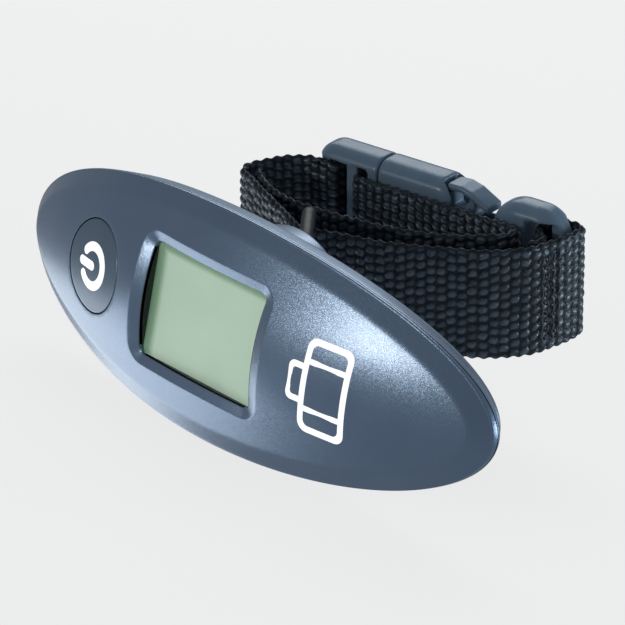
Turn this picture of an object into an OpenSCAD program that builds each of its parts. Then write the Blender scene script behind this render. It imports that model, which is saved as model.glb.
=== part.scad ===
// Digital luggage scale: arched oval housing with a display and one button,
// a load cell inside, a swivelling eye on the back, and a webbing strap
// with a side release buckle.
// Frame: X along the housing, -Y out of the display face, +Z up.
// Origin: middle of the parting line between the two housing halves.

/* [Housing] */
// Length of the housing
body_l = 145; // [144:0.5:146]
// Height of the housing
body_w = 49; // [48.6:0.1:49.4]
// Wall thickness of the housing
wall = 2; // [1.8:0.1:2.1]
// Radius of the round boss on the back
boss_r = 20; // [19.6:0.1:20.4]
// How far the boss reaches behind the parting line
boss_y = 18.5; // [18:0.1:18.8]

/* [Display] */
// Width of the display window
win_w = 35.8; // [35:0.1:36]
// Height of the display window
win_h = 24.8; // [24:0.1:25]
// Place of the window along the housing
win_x = -2.7; // [-2.9:0.1:-2.5]

/* [Button] */
// Radius of the power button
button_r = 10.05; // [9.8:0.05:10.1]
// Gap round the button
button_gap = 0.2; // [0.15:0.05:0.3]
// Travel of the button
button_travel = 0.5; // [0.3:0.1:0.5]

/* [Strap] */
// Width of the webbing
strap_w = 25.4; // [25:0.1:25.6]
// Thickness of the webbing
strap_t = 1.5; // [1.3:0.1:1.6]
// Lean of the strap against the housing, in degrees
strap_lean = 12.4; // [12:0.1:13]
// Sideways swing of the steel link, in degrees
link_swing = 46; // [45.5:0.1:46.5]

/* [Hidden] */

a = body_l/2;            // half length
b = body_w/2;            // half height
seam_s = 10.7;           // how far the ends of the parting line go back
seam_R = (a*a+seam_s*seam_s)/(2*seam_s);
face_y = -6.4;           // front of the face
face_R = 196.6;          // face radius along X
face_q = 45.3;           // face radius across
rear_y = 10.06;          // back of the housing at its middle
rear_R = 396;            // back radius along X
rear_q = 59.8;           // back radius across
bx = -39.4;              // button axis
cell_x = 45;             // coin cell axis
eye_y = 23;              // axis of the hole in the eye
pitch = 21.1;            // link: bar to bar
screw_xy = [[-26,11],[-26,-11],[26,11],[26,-11]];
tip_xy = [[-60,0],[62,0]];
hw = strap_w/2;

// ---- helpers ----
module ycyl(r,y0,y1,x=0,z=0,fn=64) translate([x,y0,z]) rotate([-90,0,0]) cylinder(r=r,h=y1-y0,$fn=fn);
module ell(da=0,y0=-20,y1=40) rotate([90,0,0]) translate([0,0,-y1]) linear_extrude(y1-y0)
  polygon([for(i=[0:119]) [(a-da)*cos(3*i),(b-da)*sin(3*i)]]);
// face surface, d below it
module face_in(d=0) translate([0,face_y+face_R,0]) rotate([0,0,235]) rotate_extrude(angle=70,$fn=180)
  intersection(){translate([face_R-face_q,0]) circle(r=face_q-d,$fn=180); translate([120,-40]) square([100,80]);}
// back surface, d inside it
module rear_in(d=0) translate([0,rear_y+rear_R,0]) rotate([0,0,255]) rotate_extrude(angle=30,$fn=360)
  intersection(){translate([rear_R+rear_q,0]) circle(r=rear_q-d,$fn=180); translate([rear_R-20,-40]) square([70,80]);}
module seam_cyl(o=0) translate([0,seam_R+o,-40]) cylinder(r=seam_R,h=80,$fn=360);
module rr(w,h,r) polygon([for(c=[[1,1,0],[-1,1,90],[-1,-1,180],[1,-1,270]]) for(k=[0:6])
  [c[0]*(w/2-r)+r*cos(c[2]+15*k), c[1]*(h/2-r)+r*sin(c[2]+15*k)]]);
module rbox(w,h,r,y0,y1,x=0,z=0) translate([x,y1,z]) rotate([90,0,0]) linear_extrude(y1-y0) rr(w,h,r);
// strap frame: at the eye, leaned about X
module G() translate([0,eye_y,0]) rotate([strap_lean,0,0]) children();
module zbox(x0,x1,y0,y1,z0,z1) translate([x0,y0,z0]) cube([x1-x0,y1-y0,z1-z0]);

// ---- housing ----
module front_shell() color([0.34,0.41,0.49]) difference(){
  intersection(){ell(); face_in();}
  seam_cyl();
  difference(){
    intersection(){ell(wall); face_in(wall);}
    for(p=screw_xy) ycyl(2.8,-10,1.3,p[0],p[1]);
    for(p=tip_xy) ycyl(2.8,-10,7.2,p[0],p[1]);
    rbox(win_w+8.4,win_h+8.4,4,-10,-0.6,win_x);
  }
  for(p=screw_xy) ycyl(1.2,-1.6,20,p[0],p[1],32);
  for(p=tip_xy) ycyl(1.2,4.9,20,p[0],p[1],32);
  rbox(win_w+1.8,win_h+1.8,2.3,-10,5,win_x);
  rbox(win_w+4.8,win_h+4.4,2.5,-2.5,5,win_x);
  ycyl(button_r+button_gap,-10,10,bx);
  intersection(){mark(0.04); difference(){face_in(-1); face_in(0.3);}}
}
module rear_shell() color([0.31,0.37,0.45]) difference(){
  union(){
    intersection(){ell(); rear_in(); seam_cyl(0.02);}
    intersection(){ycyl(boss_r,0,boss_y,0,0,128); seam_cyl(0.02);}
  }
  difference(){
    union(){ intersection(){ell(wall); rear_in(wall);} ycyl(boss_r-wall,-5,boss_y-wall,0,0,128);}
    for(p=screw_xy) ycyl(2.8,1.4,20,p[0],p[1]);
    for(p=tip_xy) ycyl(2.8,7.4,20,p[0],p[1]);
    for(s=[-1,1]) ycyl(3.5,11.4,20,13.5*s);
    ycyl(13.6,9.0,20,cell_x,0);
  }
  for(p=screw_xy) {ycyl(1.3,-5,20,p[0],p[1],32); ycyl(2.4,6.4,20,p[0],p[1],48);}
  for(p=tip_xy) {ycyl(1.3,-5,20,p[0],p[1],32); ycyl(2.4,11.2,20,p[0],p[1],48);}
  for(s=[-1,1]) ycyl(1.55,5,15.6,13.5*s,0,48);
  ycyl(6,10,30);
  ycyl(10.9,0,30,cell_x); ycyl(12.25,9.85,30,cell_x);
}

// ---- display ----
module lcd_frame() color([0.05,0.05,0.06]) difference(){
  union(){
    intersection(){rbox(win_w+1.6,win_h+1.6,2.2,-10,-1.6,win_x); face_in(1.15);}
    rbox(win_w+4.6,win_h+4.2,2.4,-2.45,0.55,win_x);
  }
  rbox(win_w,win_h,1.5,-10,5,win_x);
  rbox(win_w+3,win_h+2.8,0.68,-1.6,5,win_x);
}
module lcd_lens() color([0.75,0.8,0.8,0.4]) rbox(win_w-0.2,win_h-0.2,1.4,-2.3,-1.62,win_x);
module lcd_panel() color([0.62,0.68,0.6]) union(){
  rbox(win_w+2.8,win_h+2.6,0.6,-1.56,-0.46,win_x); rbox(win_w+2.8,win_h,0.6,-0.46,0.6,win_x);
}
module contact_strips() color([0.85,0.75,0.7]) for(s=[-1,1]) zbox(win_x-17,win_x+17,0.65,4.15,s*11.2-1,s*11.2+1);

// ---- button ----
module power_shape(g=0) translate([bx,0,0]) rotate([90,0,0]) translate([0,0,-10]) linear_extrude(20) {
  difference(){circle(r=5.2+g,$fn=96); circle(r=3.2-g,$fn=96); polygon([[0,0],[-12,12*tan(38)],[-12,-12*tan(38)]]);}
  for(s=[-1,1]) translate([-4.2*cos(38),4.2*sin(38)*s]) circle(r=1+g,$fn=48);
  translate([-4.4,-1-g]) square([4.2,2+2*g]);
  for(x=[-4.4,-0.2]) translate([x,0]) circle(r=1+g,$fn=48);
}
module power_button() color([0.27,0.33,0.41]) difference(){
  union(){
    intersection(){ycyl(button_r,-10,10,bx); difference(){face_in(0.05); face_in(2.65);}}
    intersection(){ycyl(button_r+1,-10,10,bx); difference(){face_in(2.15); face_in(2.65);}}
    ycyl(2.5,0,1.1,bx);
  }
  intersection(){power_shape(0.04); difference(){face_in(-1); face_in(0.35);}}
}
module power_symbol() color("white") intersection(){power_shape(0); difference(){face_in(0.03); face_in(0.31);}}

// generic mark: a plain suitcase outline
module mark(g=0) translate([35.6,0,-1]) rotate([0,-90,0]) rotate([90,0,0]) translate([0,0,-10]) linear_extrude(20) {
  difference(){rr(20+2*g,11.6+2*g,2.2); rr(17.2-2*g,8.8-2*g,1.3);}
  difference(){translate([0,7.0]) rr(8.4+2*g,4.6+2*g,1.4); translate([0,6.6]) rr(5.8-2*g,3.2-2*g,0.7); translate([-5,2.4]) square([10,3.3-g]);}
  for(s=[-1,1]) translate([s*5-0.6-g,-5]) square([1.2+2*g,10]);
}
module face_mark() color("white") intersection(){mark(0); difference(){face_in(-0.02); face_in(0.26);}}

// ---- electronics ----
module pcb() color([0.1,0.35,0.2]) difference(){
  rbox(72,26.4,2,4.2,5.2,-14);
  for(p=[[-26,11],[-26,-11]]) ycyl(3.1,3,7,p[0],p[1]);
  for(z=[-8.5,8.5]) ycyl(0.6,3,7,14,z,24);
}
module pcb_parts() color([0.75,0.7,0.6]) {
  for(i=[0:4]) zbox(-44+3.2*i,-42+3.2*i,5.25,5.85,8,9.2);
  for(i=[0:3]) zbox(-21,-19,5.25,5.95,-9+3*i,-7.8+3*i);
  translate([-40,5.25,-8]) rotate([-90,0,0]) cylinder(r=1.6,h=3.2,$fn=48);
}
module chip() color([0.08,0.08,0.09]) {zbox(-37,-27,5.5,6.9,-5,5); for(i=[0:7]) for(s=[-1,1]) zbox(-36+1.2*i,-35.5+1.2*i,5.25,5.75,s>0?5:-6.2,s>0?6.2:-5);}
module tact_switch() color([0.15,0.15,0.16]) difference(){zbox(bx-3,bx+3,1.8,4.15,-3,3); ycyl(1.7,1,3,bx,0,48);}
module switch_plunger() color([0.85,0.85,0.8]) ycyl(1.6,1.15,2.2,bx,0,48);

// ---- load cell ----
module load_cell() color([0.7,0.7,0.72]) difference(){
  rbox(33.6,12,3,6.8,9.3);
  ycyl(2.55,5,12);
  for(s=[-1,1]) {ycyl(1.6,5,12,13.5*s,0,48); for(z=[-6,6]) ycyl(2.6,5,12,7*s,z*1.15,48);}
}
module strain_gauges() color([0.85,0.6,0.3]) for(s=[-1,1]) zbox(7*s-2,7*s+2,6.6,6.77,-1.6,1.6);
module load_cell_spacers() color([0.72,0.6,0.3]) for(s=[-1,1]) difference(){ycyl(3.4,9.34,11.36,13.5*s,0); ycyl(1.6,5,12,13.5*s,0,48);}
module load_cell_screws() color([0.6,0.6,0.62]) for(s=[-1,1]) difference(){
  union(){ycyl(1.5,6,15.4,13.5*s,0,48); ycyl(2.7,5.4,6.76,13.5*s,0,48);}
  zbox(13.5*s-1.7,13.5*s+1.7,5,5.9,-0.3,0.3); zbox(13.5*s-0.3,13.5*s+0.3,5,5.9,-1.7,1.7);}
// flat lead that follows straight runs in the XZ plane
module lead(P,y0,t=0.7,w=0.7) translate([0,y0+t,0]) rotate([90,0,0]) linear_extrude(t) for(i=[0:len(P)-2])
  let(d=P[i+1]-P[i], L=norm(d)) translate(P[i]) rotate(atan2(d[1],d[0])) translate([-w/2,-w/2]) square([L+w,w]);
module gauge_wires() color([0.8,0.15,0.12]) for(s=[-1,1]) lead([[7*s,2.4],[7*s,8.5],[10*s,9.6]],5.4);

// ---- hanger ----
module hanger_eye() color([0.30,0.36,0.43]) difference(){
  union(){
    ycyl(2.5,5.5,10,0,0,64); ycyl(4.5,9.9,19.8,0,0,64);
    translate([0,eye_y,-2]) cylinder(r=6.2,h=4,$fn=96);
    zbox(-4.4,4.4,17,eye_y,-2,2);
  }
  difference(){ycyl(4,6,6.78); ycyl(2,5,8,0,0,48);}
  translate([0,eye_y,-5]) cylinder(r=3.2,h=10,$fn=64);
}
module hanger_washer() color([0.75,0.75,0.77]) difference(){ycyl(4.6,9.34,9.86); ycyl(2.6,9,10);}
module hanger_clip() color([0.25,0.25,0.27]) difference(){ycyl(4.4,6.04,6.74); ycyl(2.04,5,8,0,0,48); zbox(-1.6,1.6,5,8,-6,0);}
module strap_link() color([0.2,0.2,0.22]) G() rotate([0,0,link_swing]) {
  wr=1.5; hz=15.2; cr=3;
  for(v=[0,pitch]) translate([0,v,-hz+cr]) cylinder(r=wr,h=2*hz-2*cr,$fn=48);
  for(s=[-1,1]) {
    translate([0,cr,s*hz]) rotate([-90,0,0]) cylinder(r=wr,h=pitch-2*cr,$fn=48);
    for(v=[0,pitch]) translate([0,v==0?cr:pitch-cr,s*(hz-cr)]) rotate([90,0,90])
      rotate_extrude(angle=90,start=v==0?(s>0?90:180):(s>0?0:270),$fn=48) translate([cr,0]) circle(r=wr,$fn=48);
  }
}

// ---- battery ----
module coin_cell() color([0.75,0.76,0.78]) {ycyl(10,5.2,7.6,cell_x); ycyl(8.8,4.4,5.3,cell_x);}
module contact_minus() color([0.8,0.75,0.5]) {zbox(cell_x-7,cell_x+3,3.7,3.95,-2.5,2.5); ycyl(1.3,3.9,4.34,cell_x,0,32); zbox(cell_x-12,cell_x-6.9,3.7,3.95,-1,1);}
module contact_plus() color([0.8,0.75,0.5]) {zbox(cell_x-5,cell_x+5,7.7,7.95,-3,3); zbox(cell_x-12,cell_x-4.9,7.7,7.95,-1.2,1.2); zbox(cell_x-12,cell_x-11.7,4.6,7.9,-1.2,1.2);}
module battery_wires() color([0.75,0.12,0.1]) {
  lead([[cell_x-12.6,0.6],[cell_x-17,4],[23.2,6.5]],3.7);
  lead([[cell_x-12.6,-0.6],[cell_x-17,-4],[23.2,-6.5]],4.6);
}
module battery_door() color([0.31,0.37,0.45]) difference(){
  union(){ycyl(12.05,9.95,11.9,cell_x,0,96); ycyl(10.6,8.1,10,cell_x,0,96);}
  ycyl(9.4,7,9.4,cell_x);
  rbox(1.6,13,0.7,11.0,14,cell_x);
}
module case_screws() color([0.55,0.55,0.57]) {
  for(p=screw_xy) difference(){union(){ycyl(1.1,-1.3,7,p[0],p[1],32); ycyl(2.2,6.45,7.9,p[0],p[1],48);} zbox(p[0]-1.3,p[0]+1.3,7.2,9,p[1]-0.25,p[1]+0.25); zbox(p[0]-0.25,p[0]+0.25,7.2,9,p[1]-1.3,p[1]+1.3);}
  for(p=tip_xy) difference(){union(){ycyl(1.1,5.2,12,p[0],p[1],32); ycyl(2.2,11.25,12.7,p[0],p[1],48);} zbox(p[0]-1.3,p[0]+1.3,12,14,p[1]-0.25,p[1]+0.25); zbox(p[0]-0.25,p[0]+0.25,12,14,p[1]-1.3,p[1]+1.3);}
}

// ---- strap: centreline in plan, corners rounded ----
// x, v, corner radius; from the sewn end on the socket half, round the link,
// through the adjuster of the plug half, then the folded tail
bang = 11.5;             // direction of the buckle in plan
bcx = -7.2; bcv = 47.2;  // place of the buckle in plan
function bp(u,n,r) = [bcx+u*cos(bang)-n*sin(bang), bcv+u*sin(bang)+n*cos(bang), r];
bar = [-pitch*sin(link_swing), pitch*cos(link_swing)];
PL = [[22.8,42.6,0],[23.4,46.3,1.6],bp(25.3,-3.2,1.4),bp(25.3,3.5,1.3),bp(33.2,3.5,2.2),[25.5,50,8],[25.2,41,12],[20.5,33,20],[4,20.2,30],
      [bar[0]+0.3,bar[1]-3.1,2.6],[-38,19.2,30],[-47,22.2,3.6],[-44.6,32.5,8],bp(-35,-3.3,3),bp(-28.3,-3.3,1.4),bp(-28.3,3.4,1.4),
      bp(-21,3.4,1.4),bp(-21,-6.1,1.6),bp(10,-6.1,30),[16.8,45.7,2.0],[16.4,41.2,1.8],[9,31.5,20],[-2,25.4,30],[-14,21.4,30],[-27,18.6,30],[-36,20.4,20],[-42.6,23.9,0]];
function u2(p,q) = let(d=[q[0]-p[0],q[1]-p[1]]) d/norm(d);
function corner(P,i) = let(p=P[i], d0=u2(P[i-1],p), d1=u2(p,P[i+1]), c=d0*d1, ang=acos(max(-1,min(1,c))),
   tmax=0.48*min(norm([p[0]-P[i-1][0],p[1]-P[i-1][1]]),norm([p[0]-P[i+1][0],p[1]-P[i+1][1]])),
   t=min(p[2]*tan(ang/2),tmax), r=t/tan(ang/2), s=sign(d0[0]*d1[1]-d0[1]*d1[0]),
   A=[p[0],p[1]]-t*d0, n=[-d0[1],d0[0]]*s, C=A+r*n, m=max(2,ceil(ang/9)))
   [for(k=[0:m]) let(q=k*ang/m*s, v=-n) C+r*[v[0]*cos(q)-v[1]*sin(q), v[0]*sin(q)+v[1]*cos(q)]];
function path(P) = concat([[P[0][0],P[0][1]]],[for(i=[1:len(P)-2]) each corner(P,i)],[[P[len(P)-1][0],P[len(P)-1][1]]]);
function nrm(Q,i) = let(m=len(Q)-1, t=u2(Q[max(0,i-1)],Q[min(m,i+1)])) [-t[1],t[0]];
module band(P,t,w) let(Q=path(P), m=len(Q)-1) translate([0,0,-w/2]) linear_extrude(w)
  polygon(concat([for(i=[0:m]) Q[i]+t/2*nrm(Q,i)],[for(i=[m:-1:0]) Q[i]-t/2*nrm(Q,i)]));
module strap_webbing() color([0.09,0.09,0.11]) G() band(PL,strap_t,strap_w);
module strap_stitching() color([0.16,0.16,0.19]) G() for(k=[0:3]) let(v=43+1.5*k) translate([25.24+(v-41)/30+strap_t/2,v,-10]) rotate(-1.9) cube([0.3,0.6,20]);

// ---- buckle, in its own frame: u along it, n across its thickness ----
module B() G() translate([bcx,bcv,0]) rotate([0,0,bang]) children();
module plate(u0,u1,t,h,r=2) translate([(u0+u1)/2,t/2,0]) rotate([90,0,0]) linear_extrude(t) rr(u1-u0,h,r);
module buckle_female() color([0.2,0.23,0.28]) B() difference(){
  union(){ plate(-16,3,9,33,3); plate(0,16,8,24,1); plate(12.6,31.5,8,32.4,5); }
  // socket
  zbox(-17,12.3,-2.6,2.6,-13.6,13.6);
  // side openings for the fingers
  for(s=[-1,1]) zbox(0.4,12.4,-8,8,s>0?10.6:-20,s>0?20:-10.6);
  // slot for the webbing, leaving the end bar
  zbox(22.5,28,-8,8,-13.4,13.4);
  for(s=[-1,1]) zbox(27.9,33,s>0?2:-8,s>0?8:-2,-13.4,13.4);
}
module buckle_male() color([0.2,0.23,0.28]) B() difference(){
  union(){ plate(-33,-16.2,9,33,3); zbox(-17,4,-1.9,1.9,-2.4,2.4);
    for(s=[-1,1]) zbox(-17,-14.2,-1.9,1.9,s>0?7.4:-12.6,s>0?12.6:-7.4); }
  // adjuster: two slots, with thinner bars beside them
  zbox(-30.4,-26.2,-8,8,-13.4,13.4);
  zbox(-23.1,-18.9,-8,8,-13.4,13.4);
  for(s=[-1,1]) zbox(-34,-19,s>0?2.1:-8,s>0?8:-2.1,-13.4,13.4);
}
module prong(s) B() mirror([0,0,s>0?0:1]) union(){
  zbox(-13.7,9,-1.9,1.9,7.8,11.6);
  translate([0,1.9,0]) rotate([90,0,0]) linear_extrude(3.8) polygon([[1.2,10],[1.2,15],[4,15.4],[11.4,12.4],[11.4,8.4],[6,7.8],[3,9]]);
}
module buckle_prong_top() color([0.22,0.25,0.3]) prong(1);
module buckle_prong_bottom() color([0.22,0.25,0.3]) prong(-1);

front_shell();
rear_shell();
lcd_frame();
lcd_lens();
lcd_panel();
contact_strips();
power_button();
power_symbol();
face_mark();
pcb();
pcb_parts();
chip();
tact_switch();
switch_plunger();
load_cell();
strain_gauges();
load_cell_spacers();
load_cell_screws();
gauge_wires();
hanger_eye();
hanger_washer();
hanger_clip();
strap_link();
coin_cell();
contact_minus();
contact_plus();
battery_wires();
battery_door();
case_screws();
strap_webbing();
strap_stitching();
buckle_female();
buckle_male();
buckle_prong_top();
buckle_prong_bottom();
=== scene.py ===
import bpy
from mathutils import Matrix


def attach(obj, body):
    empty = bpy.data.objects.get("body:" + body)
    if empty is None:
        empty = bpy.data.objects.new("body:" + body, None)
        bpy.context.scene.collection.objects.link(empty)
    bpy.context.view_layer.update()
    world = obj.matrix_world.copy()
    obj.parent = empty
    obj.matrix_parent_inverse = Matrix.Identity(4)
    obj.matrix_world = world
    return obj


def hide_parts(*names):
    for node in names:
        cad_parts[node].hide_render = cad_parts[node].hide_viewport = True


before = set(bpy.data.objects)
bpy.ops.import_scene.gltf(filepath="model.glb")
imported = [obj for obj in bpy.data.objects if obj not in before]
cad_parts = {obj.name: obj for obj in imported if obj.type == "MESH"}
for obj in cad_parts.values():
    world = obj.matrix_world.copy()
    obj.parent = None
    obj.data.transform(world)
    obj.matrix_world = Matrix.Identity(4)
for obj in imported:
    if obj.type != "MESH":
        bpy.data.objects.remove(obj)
import bpy, bmesh, math, random
import numpy as np
from mathutils import Vector, Matrix
from mathutils.geometry import delaunay_2d_cdt

random.seed(7)
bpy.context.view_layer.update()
SC = bpy.context.scene

# ---------------------------------------------------------------- materials
def node(nt, kind, loc=(0, 0), **kw):
    n = nt.nodes.new(kind)
    n.location = loc
    for k, v in kw.items():
        setattr(n, k, v)
    return n


def base_mat(name):
    m = bpy.data.materials.new(name)
    m.use_nodes = True
    nt = m.node_tree
    b = nt.nodes["Principled BSDF"]
    tc = node(nt, "ShaderNodeTexCoord", (-1100, 0))
    return m, nt, b, tc


def vary(nt, b, tc, c0, c1, scale, detail=3.0, r0=None, r1=None, stretch=None):
    """base colour between two tones by noise, roughness too"""
    src = tc.outputs["Object"]
    if stretch:
        mp = node(nt, "ShaderNodeMapping", (-950, 0))
        mp.inputs["Scale"].default_value = stretch
        nt.links.new(src, mp.inputs["Vector"])
        src = mp.outputs["Vector"]
    nz = node(nt, "ShaderNodeTexNoise", (-750, 0))
    nz.inputs["Scale"].default_value = scale
    nz.inputs["Detail"].default_value = detail
    nt.links.new(src, nz.inputs["Vector"])
    cr = node(nt, "ShaderNodeValToRGB", (-500, 100))
    cr.color_ramp.elements[0].position = 0.3
    cr.color_ramp.elements[1].position = 0.7
    cr.color_ramp.elements[0].color = (*c0, 1)
    cr.color_ramp.elements[1].color = (*c1, 1)
    nt.links.new(nz.outputs["Fac"], cr.inputs["Fac"])
    nt.links.new(cr.outputs["Color"], b.inputs["Base Color"])
    if r0 is not None:
        mr = node(nt, "ShaderNodeMapRange", (-500, -200))
        mr.inputs["From Min"].default_value = 0.3
        mr.inputs["From Max"].default_value = 0.7
        mr.inputs["To Min"].default_value = r0
        mr.inputs["To Max"].default_value = r1
        nt.links.new(nz.outputs["Fac"], mr.inputs["Value"])
        nt.links.new(mr.outputs["Result"], b.inputs["Roughness"])
    return nz


def sparkle(nt, b, tc, scale, amount):
    """fine flake: every small cell leans its normal a little"""
    vo = node(nt, "ShaderNodeTexVoronoi", (-900, -500))
    vo.inputs["Scale"].default_value = scale
    nt.links.new(tc.outputs["Object"], vo.inputs["Vector"])
    sub = node(nt, "ShaderNodeVectorMath", (-700, -500), operation="SUBTRACT")
    sub.inputs[1].default_value = (0.5, 0.5, 0.5)
    nt.links.new(vo.outputs["Color"], sub.inputs[0])
    sc = node(nt, "ShaderNodeVectorMath", (-520, -500), operation="SCALE")
    sc.inputs["Scale"].default_value = amount
    nt.links.new(sub.outputs["Vector"], sc.inputs[0])
    ge = node(nt, "ShaderNodeNewGeometry", (-700, -700))
    ad = node(nt, "ShaderNodeVectorMath", (-340, -500), operation="ADD")
    nt.links.new(ge.outputs["Normal"], ad.inputs[0])
    nt.links.new(sc.outputs["Vector"], ad.inputs[1])
    no = node(nt, "ShaderNodeVectorMath", (-180, -500), operation="NORMALIZE")
    nt.links.new(ad.outputs["Vector"], no.inputs[0])
    nt.links.new(no.outputs["Vector"], b.inputs["Normal"])


def bump(nt, b, tc, scale, dist, detail=2.0):
    nz = node(nt, "ShaderNodeTexNoise", (-900, -500))
    nz.inputs["Scale"].default_value = scale
    nz.inputs["Detail"].default_value = detail
    nt.links.new(tc.outputs["Object"], nz.inputs["Vector"])
    bp = node(nt, "ShaderNodeBump", (-400, -500))
    bp.inputs["Distance"].default_value = dist
    bp.inputs["Strength"].default_value = 0.6
    nt.links.new(nz.outputs["Fac"], bp.inputs["Height"])
    nt.links.new(bp.outputs["Normal"], b.inputs["Normal"])


def simple(name, c0, c1, scale=180.0, metal=0.0, r0=0.35, r1=0.45, flake=0.0, bmp=0.0, coat=0.0, stretch=None, spec=0.5, cr=0.12, painted_glow=0.0):
    m, nt, b, tc = base_mat(name)
    b.inputs["Metallic"].default_value = metal
    b.inputs["Specular IOR Level"].default_value = spec
    vary(nt, b, tc, c0, c1, scale, r0=r0, r1=r1, stretch=stretch)
    if flake:
        sparkle(nt, b, tc, 6500.0, flake)
    elif bmp:
        bump(nt, b, tc, 2600.0, bmp)
    if coat:
        b.inputs["Coat Weight"].default_value = coat
        b.inputs["Coat Roughness"].default_value = cr
    # painted glow: emission in the lighter tone, on parts that give no light of their own
    if painted_glow:
        b.inputs["Emission Color"].default_value = (*c1, 1)
        b.inputs["Emission Strength"].default_value = painted_glow
    return m


M_FRONT = simple("slate_satin_front", (0.116, 0.180, 0.272), (0.130, 0.196, 0.292), 60, metal=0.8, r0=0.30, r1=0.33, flake=0.12, coat=1.0, cr=0.27)
M_REAR = simple("slate_satin_rear", (0.150, 0.218, 0.315), (0.165, 0.235, 0.335), 60, metal=0.75, r0=0.32, r1=0.36, flake=0.06, coat=0.4, cr=0.25)
M_BUTTON = simple("slate_button", (0.088, 0.132, 0.190), (0.098, 0.145, 0.205), 90, metal=0.6, r0=0.32, r1=0.36, flake=0.06, coat=0.4, cr=0.25)
M_BUCKLE = simple("acetal_blue_grey", (0.118, 0.172, 0.232), (0.130, 0.188, 0.252), 220, r0=0.24, r1=0.30, bmp=0.00001, spec=0.30)
M_BUCKLE.node_tree.nodes["Principled BSDF"].inputs["Specular Tint"].default_value = (0.66, 0.84, 1.0, 1)
# the white print is given a painted glow by emission
M_WHITE = simple("white_print_painted_glow", (0.80, 0.82, 0.84), (0.88, 0.90, 0.92), 900, r0=0.45, r1=0.55, bmp=0.00001, painted_glow=0.50)
M_BLACK = simple("black_moulded", (0.006, 0.007, 0.008), (0.012, 0.013, 0.015), 700, r0=0.40, r1=0.5, bmp=0.00001)
M_EYE = simple("slate_moulded", (0.050, 0.074, 0.110), (0.060, 0.086, 0.124), 200, r0=0.38, r1=0.46, bmp=0.00002)
M_STEEL = simple("steel_brushed", (0.42, 0.43, 0.45), (0.55, 0.56, 0.58), 900, metal=1.0, r0=0.28, r1=0.42, stretch=(1, 12, 12))
M_ZINC = simple("zinc_plated", (0.45, 0.46, 0.47), (0.58, 0.58, 0.60), 500, metal=1.0, r0=0.25, r1=0.38)
M_BRASS = simple("brass_turned", (0.50, 0.36, 0.13), (0.62, 0.45, 0.18), 500, metal=1.0, r0=0.25, r1=0.35)
M_LINK = simple("black_coated_steel", (0.006, 0.007, 0.009), (0.012, 0.013, 0.016), 600, r0=0.42, r1=0.55, bmp=0.00002, spec=0.3)
M_BOARD = simple("solder_mask", (0.012, 0.10, 0.045), (0.018, 0.14, 0.06), 300, r0=0.3, r1=0.4)
M_CHIP = simple("chip_package", (0.008, 0.008, 0.009), (0.018, 0.018, 0.019), 1500, r0=0.5, r1=0.65)
M_PARTS = simple("tinned_parts", (0.40, 0.36, 0.28), (0.60, 0.56, 0.48), 800, metal=0.6, r0=0.3, r1=0.5)
M_ELAST = simple("soft_strips", (0.50, 0.34, 0.32), (0.58, 0.42, 0.40), 1200, r0=0.6, r1=0.75)
M_CREAM = simple("cream_moulded", (0.66, 0.62, 0.50), (0.72, 0.68, 0.56), 700, r0=0.4, r1=0.5)
M_FOIL = simple("polyimide_foil", (0.45, 0.20, 0.04), (0.55, 0.26, 0.06), 700, r0=0.25, r1=0.35)
M_WIRE = simple("wire_insulation", (0.32, 0.012, 0.010), (0.42, 0.020, 0.015), 900, r0=0.4, r1=0.5)
M_THREAD = simple("thread_grey", (0.020, 0.023, 0.030), (0.045, 0.050, 0.062), 3000, r0=0.45, r1=0.6)


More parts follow.
